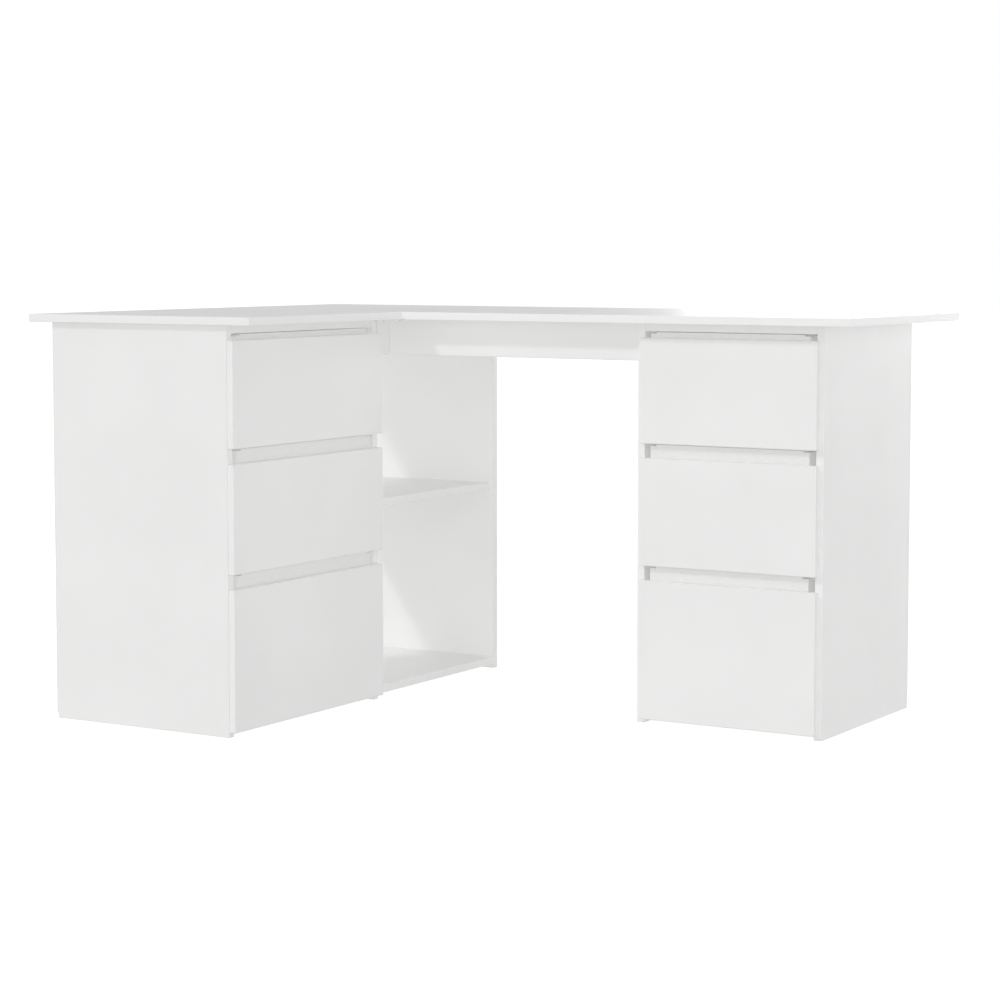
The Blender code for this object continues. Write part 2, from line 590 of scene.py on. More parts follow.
def extruded(section: Sequence[Point2], start: float, end: float) -> BMesh:
    """Draw a section out along y.

    Args:
        section: its corners as (x, z), in order round it.
        start: where it begins along y.
        end: where it stops.

    Returns:
        The closed shape.
    """
    shape = bmesh.new()
    ring = [shape.verts.new((x, start, z)) for x, z in section]
    face = shape.faces.new(ring)
    grown = bmesh.ops.extrude_face_region(shape, geom=[face])
    moved = [g for g in grown["geom"] if isinstance(g, BMVert)]
    bmesh.ops.translate(shape, vec=(0.0, end - start, 0.0), verts=moved)
    bmesh.ops.recalc_face_normals(shape, faces=shape.faces)
    return shape


def turned(profile: Sequence[Point2], segments: int = 24) -> BMesh:
    """Turn a profile about z.

    Args:
        profile: its points as (radius, height), from one end of the axis to the other.
        segments: the facets round it.

    Returns:
        The closed shape.
    """
    shape = bmesh.new()
    line = [shape.verts.new((radius, 0.0, height)) for radius, height in profile]
    edges = [shape.edges.new(pair) for pair in zip(line, line[1:])]
    bmesh.ops.spin(shape, geom=line + edges, cent=(0.0, 0.0, 0.0), axis=(0.0, 0.0, 1.0),
                   dvec=(0.0, 0.0, 0.0), angle=math.tau, steps=segments, use_merge=True)
    bmesh.ops.remove_doubles(shape, verts=shape.verts, dist=HAIR)
    bmesh.ops.recalc_face_normals(shape, faces=shape.faces)
    return shape


def aimed(direction: Vector, place: Vector) -> Matrix:
    """Give the transform that stands a shape's +z along a direction at a place."""
    return Matrix.Translation(place) @ direction.to_track_quat("Z", "Y").to_matrix().to_4x4()


def painted(shape: BMesh, index: int) -> BMesh:
    """Give every face of a shape one material index.

    Args:
        shape: the shape.
        index: the place of its finish in the piece's list.

    Returns:
        The same shape.
    """
    for face in shape.faces:
        face.material_index = index
    return shape


def placed(shape: BMesh, matrix: Matrix) -> BMesh:
    """Move a shape by a transform, and give it back."""
    bmesh.ops.transform(shape, matrix=matrix, verts=shape.verts)
    return shape


def gather(parts: Iterable[BMesh]) -> BMesh:
    """Join shapes as one mesh of separate bodies.

    Args:
        parts: the shapes, which are used up.

    Returns:
        The joined shape, with its faces pointing out.
    """
    whole = bmesh.new()
    for shape in parts:
        mesh = bpy.data.meshes.new("part")
        shape.to_mesh(mesh)
        shape.free()
        whole.from_mesh(mesh)
        bpy.data.meshes.remove(mesh)
    bmesh.ops.recalc_face_normals(whole, faces=whole.faces)
    return whole


def finish_piece(name: str, shape: BMesh, place: UnitFrame, body: str, finishes: Sequence[Finish],
                 slot: Slot | None = None, replaces: Sequence[str] = ()) -> bpy.types.Object:
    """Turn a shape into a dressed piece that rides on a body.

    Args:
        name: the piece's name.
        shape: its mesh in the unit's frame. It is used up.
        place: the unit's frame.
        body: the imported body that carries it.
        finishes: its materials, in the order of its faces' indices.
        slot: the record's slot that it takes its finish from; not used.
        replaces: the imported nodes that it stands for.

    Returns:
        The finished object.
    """
    bmesh.ops.transform(shape, matrix=place.matrix, verts=shape.verts)
    mesh = bpy.data.meshes.new(name)
    shape.to_mesh(mesh)
    shape.free()
    for finish in finishes:
        mesh.materials.append(finish.material())
    mesh.shade_smooth()
    mesh.set_sharp_from_angle(angle=SHARP_ANGLE)
    piece = bpy.data.objects.new(name, mesh)
    bpy.context.scene.collection.objects.link(piece)
    piece.modifiers.new("even_shading", "WEIGHTED_NORMAL").keep_sharp = True
    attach(piece, body)
    if replaces:
        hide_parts(*replaces)
    LOG.info("%s: %d faces on %s", name, len(mesh.polygons), body)
    return piece


# ---------------------------------------------------------------- fasteners


@dataclass(frozen=True)
class Head:
    """A fastener's head, turned, with a cross pressed into it.

    Attributes:
        radius: the head's radius.
        height: how far it stands proud.
        crown: the share of the height that its rounded shoulder takes.
        cross: the cross's reach from the middle, as a share of the radius; 0 for none.
        segments: the facets round it.
        bulge: where the shoulder bends, as shares of the radius and of the crown.
        flat: the flat face's radius, as a share of the head's.
        socket: the foot of the cross's wall, as shares of its reach and of the height.
        floor: the middle of the cross's floor, as a share of the height.
        arm: half of the width of the cross's arms, as a share of its reach.
        twist: how far it is turned, in degrees: at the origin, and more for each metre from it.
    """

    radius: float
    height: float
    crown: float = 0.7
    cross: float = 0.55
    segments: int = 24
    bulge: Point2 = (0.93, 0.55)
    flat: float = 0.76
    socket: Point2 = (0.8, 0.35)
    floor: float = 0.3
    arm: float = 0.28
    twist: Point2 = (17.0, 977.0)

    def shape(self) -> BMesh:
        """Make the head, standing on z = 0 with its face up.

        Returns:
            The closed shape.
        """
        shoulder = self.height * (1.0 - self.crown)
        bend = shoulder + self.bulge[1] * self.crown * self.height
        outline = [(0.0, 0.0), (self.radius, 0.0), (self.radius, shoulder),
                   (self.bulge[0] * self.radius, bend), (self.flat * self.radius, self.height)]
        rim = self.cross * self.radius
        if not rim:
            return turned([*outline, (0.0, self.height)], self.segments)
        foot, deep = self.socket
        outline += [(rim, self.height), (foot * rim, deep * self.height), (0.0, self.floor * self.height)]
        head = turned(outline, self.segments)
        for vert in head.verts:
            if 0.0 < vert.co.xy.length < rim + CLEAR:
                narrow = max(HAIR, min(abs(vert.co.x), abs(vert.co.y)))
                vert.co.xy *= min(1.0, self.arm * rim / narrow)
        return head

    def on(self, place: Vector, direction: Vector) -> BMesh:
        """Make the head on a surface.

        Args:
            place: the middle of its foot.
            direction: the surface's outward direction.

        Returns:
            The placed shape.
        """
        start, step = self.twist
        turn = Matrix.Rotation(math.radians(start + step * (place.x + place.y + place.z)), 4, "Z")
        return placed(self.shape(), aimed(direction, place) @ turn)


PAN_SCREW = Head(3.3 * MM, 1.4 * MM)
FLAT_SCREW = Head(4.0 * MM, 0.4 * MM, 0.5)
CAM_LOCK = Head(7.4 * MM, 0.35 * MM, 0.4, 0.42)
NAIL = Head(1.6 * MM, 0.4 * MM, 0.6, 0.0, 8)
RIVET = Head(2.8 * MM, 1.1 * MM, 0.6, 0.0, 16)
PIN_COLLAR = Head(3.6 * MM, 1.5 * MM, 0.5, 0.0)


# ---------------------------------------------------------------- boards


@dataclass
class Board:
    """A faced board: a pressed core, its two faces, and edging on the edges that show.

    Attributes:
        node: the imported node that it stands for.
        place: its unit's frame.
        banded: the sides with edging. A later side's edging laps over an earlier one's ends.
        slot: its material slot.
        face: the finish of its two faces.
        body: the body that carries it.
        band: the edging's thickness.
        radius: the radius of the edging's arrises.
    """

    node: str
    place: UnitFrame
    banded: tuple[Side, ...]
    slot: Slot = Slot.BOARD
    face: Finish = BOARD_FACE
    body: str = CARCASS
    band: float = 0.8 * MM
    radius: float = 0.7 * MM

    @property
    def block(self) -> Block:
        """The board's box in its unit's frame."""
        return self.place.block(self.node)

    def core(self) -> BMesh:
        """Make the pressed core with its faces.

        Returns:
            The core, with index 0 on its faces and 1 on its raw edges.
        """
        block = self.block
        shape = slab(block.trimmed(self.banded, self.band))
        for face in shape.faces:
            face.normal_update()
            face.material_index = 0 if abs(face.normal[block.thin]) > FACING else 1
        round_edges(shape, shape.edges[:], CLEAR, 1)
        return shape

    def edging(self, rank: int) -> BMesh:
        """Make one strip of edging.

        Args:
            rank: its place in the order of laying.

        Returns:
            The strip.
        """
        side = self.banded[rank]
        block = self.block.trimmed(self.banded[rank + 1:], self.band)
        shape = slab(block.strip(side, self.band))
        round_edges(shape, edges_on(shape, side, block.face(side)), self.radius)
        return painted(shape, 2)

    def dress(self) -> bpy.types.Object:
        """Build the board and give it its finishes.

        Returns:
            The finished piece.
        """
        strips = [self.edging(rank) for rank in range(len(self.banded))]
        return finish_piece(f"{self.node}_faced", gather([self.core(), *strips]), self.place, self.body,
                            (self.face, CORE, BANDING), self.slot, [self.node])


@dataclass
class BackPanel:
    """A thin hardboard back, held by a row of nails along each of its edges.

    Attributes:
        node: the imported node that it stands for.
        place: its unit's frame.
        inset: the nails' distance from the panel's edge.
        pitch: about how far apart the nails are.
        radius: the radius of its arrises.
    """

    node: str
    place: UnitFrame
    inset: float = 7.0 * MM
    pitch: float = 90.0 * MM
    radius: float = 0.3 * MM

    def nails(self, block: Block) -> list[BMesh]:
        """Make the nails along the panel's four edges.

        Args:
            block: the panel's box.

        Returns:
            The nails.
        """
        low = block.low + Vector((self.inset, 0.0, self.inset))
        size = block.high - Vector((self.inset, 0.0, self.inset)) - low
        across, up = (max(1, round(length / self.pitch)) for length in (size.x, size.z))
        steps = [(i / across, level) for i in range(across + 1) for level in (0.0, 1.0)]
        steps += [(level, i / up) for i in range(1, up) for level in (0.0, 1.0)]
        face = block.high.y - TOUCH
        return [NAIL.on(Vector((low.x + size.x * x, face, low.z + size.z * z)), Vector(Side.BACK.value))
                for x, z in steps]

    def dress(self) -> None:
        """Build the panel and its nails."""
        block = self.place.block(self.node)
        sheet = soft_slab(block, self.radius, 2)
        finish_piece(f"{self.node}_sheet", sheet, self.place, CARCASS, (BACK_FACE,), Slot.HARDBOARD,
                     [self.node])
        finish_piece(f"{self.node}_nails", gather(self.nails(block)), self.place, CARCASS, (ZINC,))


# ---------------------------------------------------------------- drawers


@dataclass(frozen=True)
class Roller:
    """A nylon roller and its rivet.

    Attributes:
        radius: the roller's radius.
        width: its width.
        soft: the chamfer of its rims.
        hub: the radii of its dish, at the rim and at the floor, as shares of its own.
        dish: how deep the dish is.
        segments: the facets round it.
    """

    radius: float = 9.0 * MM
    width: float = 6.0 * MM
    soft: float = 0.8 * MM
    hub: Point2 = (0.62, 0.56)
    dish: float = 0.6 * MM
    segments: int = 32

    def on(self, y: float, z: float, off_wall: float) -> BMesh:
        """Make the roller on its axle.

        Args:
            y: its axle's place along the runner.
            z: its axle's height.
            off_wall: the distance from the wall to its near face.

        Returns:
            The roller with index 1 and the rivet with index 2.
        """
        tread, floor = self.radius - self.soft, self.width - self.dish
        rim, foot = (share * self.radius for share in self.hub)
        outline = [(0.0, 0.0), (tread, 0.0), (self.radius, self.soft), (self.radius, self.width - self.soft),
                   (tread, self.width), (rim, self.width), (foot, floor), (0.0, floor)]
        wheel = painted(turned(outline, self.segments), 1)
        rivet = painted(RIVET.on(Vector((0.0, 0.0, floor)), Vector(Side.TOP.value)), 2)
        return placed(gather([wheel, rivet]), aimed(Vector((1.0, 0.0, 0.0)), Vector((off_wall, y, z))))


@dataclass
class Runner:
    """A roller runner at one side of a drawer: a channel on the wall and a rail on the drawer.

    Widths are measured from the wall, towards the drawer.

    Attributes:
        node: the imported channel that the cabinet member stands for.
        drawer: the drawer's body.
        place: the unit's frame.
        wall: the side of the bay that the channel is fixed to.
        steel: the metal's thickness.
        channel_bend: the radius of the channel's bends.
        rail_bend: the radius of the rail's bends.
        mouth: the stretch at the front where the channel is only its web, for the roller.
        roller: both rollers' make.
        front_play: the front roller's distance from the channel's web.
        rear_play: the rear roller's distance from the rail's web.
        rear_axle: the rear roller's distance from the channel's rear end.
        shortfall: how much sooner than the channel the rail ends.
        track_gap: the rail's distance from the channel's upper lip.
        lip: how far the drawer rail's running edge stays from the wall.
        foot: how far the drawer rail reaches under the box side.
        channel_screws: the places of the channel's screws, as shares of its length.
        rail_screws: the places of the rail's screws.
    """

    node: str
    drawer: str
    place: UnitFrame
    wall: Side
    steel: float = 1.2 * MM
    channel_bend: float = 0.3 * MM
    rail_bend: float = 0.25 * MM
    mouth: float = 26.0 * MM
    roller: Roller = Roller()
    front_play: float = 0.8 * MM
    rear_play: float = 0.6 * MM
    rear_axle: float = 22.0 * MM
    shortfall: float = 8.0 * MM
    track_gap: float = 6.0 * CLEAR
    lip: float = 3.2 * MM
    foot: float = 9.0 * MM
    channel_screws: Triple = (0.13, 0.42, 0.88)
    rail_screws: Triple = (0.1, 0.5, 0.8)

    def __post_init__(self) -> None:
        """Read the channel's box, and the drawer side's, as seen from the wall."""
        block = self.place.block(self.node)
        box_side = self.place.block(f"{self.drawer}_side_{self.wall.name.lower()}")
        self.front, self.rear = block.low.y, block.high.y
        self.bottom, self.top = block.low.z, block.high.z
        self.reach = block.size.x
        self.facing = -self.wall.outward
        self.foot_x = block.face(self.wall)
        self.web = abs(box_side.face(self.wall) - self.foot_x) - CLEAR - self.steel
        self.under = box_side.low.z - CLEAR
        self.track = self.top - self.steel - self.track_gap - self.steel

    def screws(self, shares: Triple, off_wall: float, z: float) -> list[BMesh]:
        """Make the screws along a web, facing into the runner.

        Args:
            shares: their places, as shares of the runner's length.
            off_wall: the web's distance from the wall.
            z: their height.

        Returns:
            The screws.
        """
        facing = Vector((1.0 if off_wall < self.reach / 2 else -1.0, 0.0, 0.0))
        length = self.rear - self.front
        places = [Vector((off_wall, self.front + length * share, z)) for share in shares]
        return [painted(PAN_SCREW.on(place, facing), 2) for place in places]

    def mount(self, end: str, parts: Sequence[BMesh], body: str, nodes: Sequence[str] = ()) -> None:
        """Finish one member of the runner.

        Args:
            end: the last word of its name.
            parts: its shapes, with widths off the wall. They are used up.
            body: the body that carries it.
            nodes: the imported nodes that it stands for.
        """
        at_wall = Matrix.Translation((self.foot_x, 0.0, 0.0)) @ Matrix.Diagonal((self.facing, 1.0, 1.0, 1.0))
        shape = placed(gather(parts), at_wall)
        bmesh.ops.recalc_face_normals(shape, faces=shape.faces)
        finish_piece(f"{self.node}_{end}", shape, self.place, body, (STEEL, NYLON, ZINC), Slot.RUNNER, nodes)

    def dress_channel(self) -> None:
        """Build the cabinet member with its front roller."""
        low, high = self.bottom + self.steel, self.top - self.steel
        section = [(0.0, self.bottom), (self.reach, self.bottom), (self.reach, low), (self.steel, low),
                   (self.steel, high), (self.reach, high), (self.reach, self.top), (0.0, self.top)]
        channel = extruded(section, self.front + self.mouth, self.rear)
        round_edges(channel, channel.edges[:], self.channel_bend, 2)
        web = Block(Vector((CLEAR, self.front, self.bottom + CLEAR)),
                    Vector((self.steel - CLEAR, self.front + self.mouth + MM, self.top - CLEAR)))
        tab = soft_slab(web, self.channel_bend, 2)
        axle = self.track - CLEAR - self.roller.radius
        wheel = self.roller.on(self.front + self.mouth / 2, axle, self.steel + self.front_play)
        screws = self.screws(self.channel_screws, self.steel, (self.bottom + self.top) / 2)
        self.mount("channel", [painted(channel, 0), painted(tab, 0), wheel, *screws], CARCASS, [self.node])

    def dress_rail(self) -> None:
        """Build the drawer member with its rear roller."""
        inner = self.web + self.steel
        toe = inner + self.foot
        section = [(self.lip, self.track), (self.web, self.track), (self.web, self.under - self.steel),
                   (toe, self.under - self.steel), (toe, self.under), (inner, self.under),
                   (inner, self.track + self.steel), (self.lip, self.track + self.steel)]
        rail = extruded(section, self.front, self.rear - self.shortfall)
        round_edges(rail, rail.edges[:], self.rail_bend, 2)
        axle = self.bottom + self.steel + CLEAR + self.roller.radius
        off_wall = self.web - self.roller.width - self.rear_play
        wheel = self.roller.on(self.rear - self.rear_axle, axle, off_wall)
        screws = self.screws(self.rail_screws, self.web, (self.bottom + self.track) / 2)
        self.mount("rail", [painted(rail, 0), wheel, *screws], self.drawer)


@dataclass
class Drawer:
    """A drawer: its edged front, the box behind it, and a runner at each side.

    Attributes:
        name: the drawer's body, and the first words of its nodes' names.
        runner: the first words of its runners' names.
        place: the unit's frame.
        groove: how deep the groove for the bottom is.
        play: how much the bottom stops short of the groove's depth.
        rise: how far the inner front stands above the sides.
        margin: the fixings' distance from the top and bottom edges.
        soft: the radius of the boards' upper arrises.
        sheet_soft: the radius of the bottom's arrises.
    """

    name: str
    runner: str
    place: UnitFrame
    groove: float = 5.0 * MM
    play: float = 0.3 * MM
    rise: float = 2.5 * MM
    margin: float = 42.0 * MM
    soft: float = 0.8 * MM
    sheet_soft: float = 0.2 * MM

    def part(self, end: str) -> Block:
        """Give the box of one of the drawer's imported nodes."""
        return self.place.block(f"{self.name}_{end}")

    def side(self, wall: Side) -> Block:
        """Give the box of the side board at one wall."""
        return self.part(f"side_{wall.name.lower()}")

    def finish(self, end: str, shape: BMesh, finishes: Sequence[Finish], slot: Slot | None,
               stands_for: str = "") -> None:
        """Finish one piece of the box.

        Args:
            end: the last words of its name.
            shape: its shape in the unit's frame.
            finishes: its finishes.
            slot: its material slot, if it has one.
            stands_for: the last words of the node that it replaces, if it has one.
        """
        nodes = [f"{self.name}_{stands_for}"] if stands_for else []
        finish_piece(f"{self.name}_{end}", shape, self.place, self.name, finishes, slot, nodes)

    def box_side(self, wall: Side) -> BMesh:
        """Make a side board with the groove for the bottom along its inner face.

        Args:
            wall: the side of the drawer that it is on.

        Returns:
            The board, with index 0 where it is foiled and 1 where it is raw.
        """
        block, sheet = self.side(wall), self.part("bottom")
        outer = block.face(wall)
        inner = outer - wall.outward * block.size.x
        deep = inner + wall.outward * self.groove
        low, high = sheet.low.z - CLEAR, sheet.high.z + CLEAR
        section = [(outer, block.low.z), (inner, block.low.z), (inner, low), (deep, low), (deep, high),
                   (inner, high), (inner, block.high.z), (outer, block.high.z)]
        shape = extruded(section, block.low.y, block.high.y)
        for face in shape.faces:
            face.normal_update()
            middle = face.calc_center_median()
            grooved = low - CLEAR < middle.z < high + CLEAR and abs(middle.x - outer) > CLEAR
            raw = grooved and abs(face.normal.y) < FACING
            face.material_index = int(raw or face.normal.y > FACING)
        round_edges(shape, edges_on(shape, Side.TOP, block.high.z), self.soft)
        return shape

    def cross_board(self, front: float, rear: float, rise: float = 0.0) -> BMesh:
        """Make a board between the sides, standing on the bottom.

        Args:
            front: its front face along y.
            rear: its rear face.
            rise: how far it stands above the sides.

        Returns:
            The board.
        """
        left, right, sheet = self.side(Side.LEFT), self.side(Side.RIGHT), self.part("bottom")
        block = Block(Vector((left.high.x + CLEAR, front, sheet.high.z + CLEAR)),
                      Vector((right.low.x - CLEAR, rear, left.high.z + rise)))
        shape = slab(block)
        round_edges(shape, edges_on(shape, Side.TOP, block.high.z), self.soft)
        return shape

    def fixings(self) -> BMesh:
        """Make the cams at the front and the screws at the back, on both sides.

        Returns:
            The cams and screws.
        """
        heads = []
        rear = self.part("back").centre.y
        for wall in (Side.LEFT, Side.RIGHT):
            block = self.side(wall)
            for z in (block.low.z + self.margin, block.high.z - self.margin):
                for head, y in ((CAM_LOCK, block.low.y + CAM_SETBACK), (FLAT_SCREW, rear)):
                    heads.append(head.on(Vector((block.face(wall), y, z)), Vector(wall.value)))
        return gather(heads)

    def dress(self) -> None:
        """Build the whole drawer."""
        Board(f"{self.name}_front", self.place, (Side.LEFT, Side.RIGHT, Side.BOTTOM, Side.TOP), Slot.FRONT,
              FRONT_FACE, self.name, THICK_BAND, THICK_RADIUS).dress()
        for wall in (Side.LEFT, Side.RIGHT):
            end = wall.name.lower()
            self.finish(f"box_{end}", self.box_side(wall), (BOX_FOIL, CORE), Slot.DRAWER_BOX, f"side_{end}")
            runner = Runner(f"{self.runner}_{end}", self.name, self.place, wall)
            runner.dress_channel()
            runner.dress_rail()
        front, back = self.side(Side.LEFT).low.y, self.part("back")
        inner_front = self.cross_board(front, front + back.size.y, self.rise)
        self.finish("inner_front", inner_front, (BOX_FOIL,), Slot.DRAWER_BOX)
        box_back = self.cross_board(back.low.y, back.high.y)
        self.finish("box_back", box_back, (BOX_FOIL,), Slot.DRAWER_BOX, "back")
        sheet, reach = self.part("bottom"), Vector((self.groove - self.play, 0.0, 0.0))
        tongue = soft_slab(Block(sheet.low - reach, sheet.high + reach), self.sheet_soft, 1)
        self.finish("box_bottom", tongue, (BACK_FACE,), Slot.HARDBOARD, "bottom")
        self.finish("fixings", self.fixings(), (ZINC,), None)


# ---------------------------------------------------------------- units


@dataclass
class Unit:
    """What the return unit and the pedestal share: upright boards, a drawer bay and its drawers.

    Attributes:
        prefix: the first word of its nodes' names.
        place: the unit's frame.
        uprights: the last words of its upright boards' names.
        drawers: its drawers' numbers, the top one first.
    """

    prefix: str
    place: UnitFrame
    uprights: tuple[str, ...]
    drawers: tuple[int, ...] = (1, 2, 3)

    def dress_bay(self) -> None:
        """Build the drawer bay's boards and its back."""
        Board(f"{self.prefix}_drawer_bay_floor", self.place, (Side.FRONT,)).dress()
        Board(f"{self.prefix}_drawer_bay_stretcher", self.place, (Side.FRONT,)).dress()
        BackPanel(f"{self.prefix}_back_panel", self.place).dress()

    def dress(self) -> None:
        """Build the unit."""
        for end in self.uprights:
            Board(f"{self.prefix}_{end}", self.place, (Side.BOTTOM, Side.FRONT, Side.BACK)).dress()
        self.dress_bay()
        for number in self.drawers:
            Drawer(f"{self.prefix}_drawer_{number}", f"{self.prefix}_runner_{number}", self.place).dress()


@dataclass
class ReturnUnit(Unit):
    """The unit under the short arm: a drawer bay, and beside it a bay of open shelves.

    Attributes:
        pin_inset: the shelf pins' distance from the shelf's front and rear edges.
        pin_reach: how far the pins stand out under the shelf.
        pin_width: the width of their spoons.
        pin_steel: the thickness of their spoons.
        pin_drop: how far under the shelf their collars' middle is.
        pin_soft: the radius of the spoons' arrises.
    """

    pin_inset: float = 50.0 * MM
    pin_reach: float = 9.0 * MM
    pin_width: float = 7.0 * MM
    pin_steel: float = 1.5 * MM
    pin_drop: float = 5.0 * MM
    pin_soft: float = 0.5 * MM

    def pins(self) -> BMesh:
        """Make the four pins under the shelf: a round collar on the board and a flat spoon.

        Returns:
            The pins.
        """
        shelf = self.place.block("return_shelf")
        under = shelf.low.z - CLEAR
        half = self.pin_width / 2
        parts = []
        for side in (Side.LEFT, Side.RIGHT):
            wall = shelf.face(side)
            near, far = sorted((wall, wall - side.outward * self.pin_reach))
            for y in (shelf.low.y + self.pin_inset, shelf.high.y - self.pin_inset):
                spoon = Block(Vector((near, y - half, under - self.pin_steel)),
                              Vector((far, y + half, under)))
                parts.append(soft_slab(spoon, self.pin_soft, 2))
                foot = Vector((wall, y, shelf.low.z - self.pin_drop))
                parts.append(PIN_COLLAR.on(foot, -Vector(side.value)))
        return gather(parts)

    def dress(self) -> None:
        """Build the unit and its open shelves."""
        super().dress()
        for name in ("return_shelf_bay_floor", "return_shelf"):
            Board(name, self.place, (Side.FRONT, Side.BACK)).dress()
        Board("return_shelf_bay_rail", self.place, (Side.BOTTOM,)).dress()
        finish_piece("return_shelf_pins", self.pins(), self.place, CARCASS, (ZINC,))


@dataclass
class DeskTop:
    """The L-shaped top of two boards, the knee rail, and the fittings under them.

    Attributes:
        plate_size: the joint plates' width, their length across the joint and their thickness.
        plate_corner: the radius of their corners.
        plate_facets: the facets in each corner.
        plate_screws: the screws' places off the plate's middle, as shares of its width and length.
        cam_shares: the knee rail's cams' distances from its lower and upper edge, as shares of its height.
    """

    plate_size: Triple = (36.0 * MM, 80.0 * MM, 1.5 * MM)
    plate_corner: float = 6.0 * MM
    plate_facets: int = 5
    plate_screws: Point2 = (0.26, 0.36)
    cam_shares: Point2 = (0.35, 0.3)

    def plate(self, x: float, y: float, under: float) -> BMesh:
        """Make a joint plate with its four screws under the top.

        Args:
            x: the plate's middle.
            y: the joint's place.
            under: the height of the top's underside.

        Returns:
            The plate with index 0 and its screws with index 1.
        """
        width, length, steel = self.plate_size
        half = Vector((width / 2, length / 2, 0.0))
        middle = Vector((x, y, under - CLEAR / 2))
        sheet = Block(middle - half - Vector((0.0, 0.0, steel)), middle + half)
        shape = slab(sheet)
        corners = [e for e in shape.edges if abs(e.verts[0].co.z - e.verts[1].co.z) > steel / 2]
        round_edges(shape, corners, self.plate_corner, self.plate_facets)
        parts = [painted(shape, 0)]
        across, along = (share * size for share, size in zip(self.plate_screws, (width, length)))
        for step_x, step_y in ((-1, -1), (-1, 1), (1, -1), (1, 1)):
            spot = Vector((x + step_x * across, y + step_y * along, sheet.low.z))
            parts.append(painted(PAN_SCREW.on(spot, Vector(Side.BOTTOM.value)), 1))
        return gather(parts)

    def rail_cams(self) -> BMesh:
        """Make the cams on the hidden face of the knee rail, at both ends.

        Returns:
            The cams.
        """
        rail = DESK_FRAME.block("knee_rail")
        lower, upper = (share * rail.size.z for share in self.cam_shares)
        spots = [Vector((x, rail.high.y, z)) for x in (rail.low.x + CAM_SETBACK, rail.high.x - CAM_SETBACK)
                 for z in (rail.low.z + lower, rail.high.z - upper)]
        return gather([CAM_LOCK.on(spot, Vector(Side.BACK.value)) for spot in spots])

    def dress(self) -> None:
        """Build the top."""
        around = (Side.BACK, Side.FRONT, Side.LEFT, Side.RIGHT)
        for node in ("top_long_board", "top_return_board"):
            Board(node, DESK_FRAME, around, Slot.TOP, TOP_FACE, CARCASS, THICK_BAND, THICK_RADIUS).dress()
        Board("knee_rail", DESK_FRAME, (Side.BOTTOM,)).dress()
        joint = DESK_FRAME.block("top_return_board")
        partition = DESK_FRAME.block("return_partition")
        spots = ((joint.low.x + partition.low.x) / 2, (joint.high.x + partition.high.x) / 2)
        plates = [self.plate(x, joint.high.y, joint.low.z) for x in spots]
        finish_piece("top_joint_plates", gather(plates), DESK_FRAME, CARCASS, (STEEL, ZINC))
        finish_piece("knee_rail_cams", self.rail_cams(), DESK_FRAME, CARCASS, (ZINC,))


# ---------------------------------------------------------------- studio


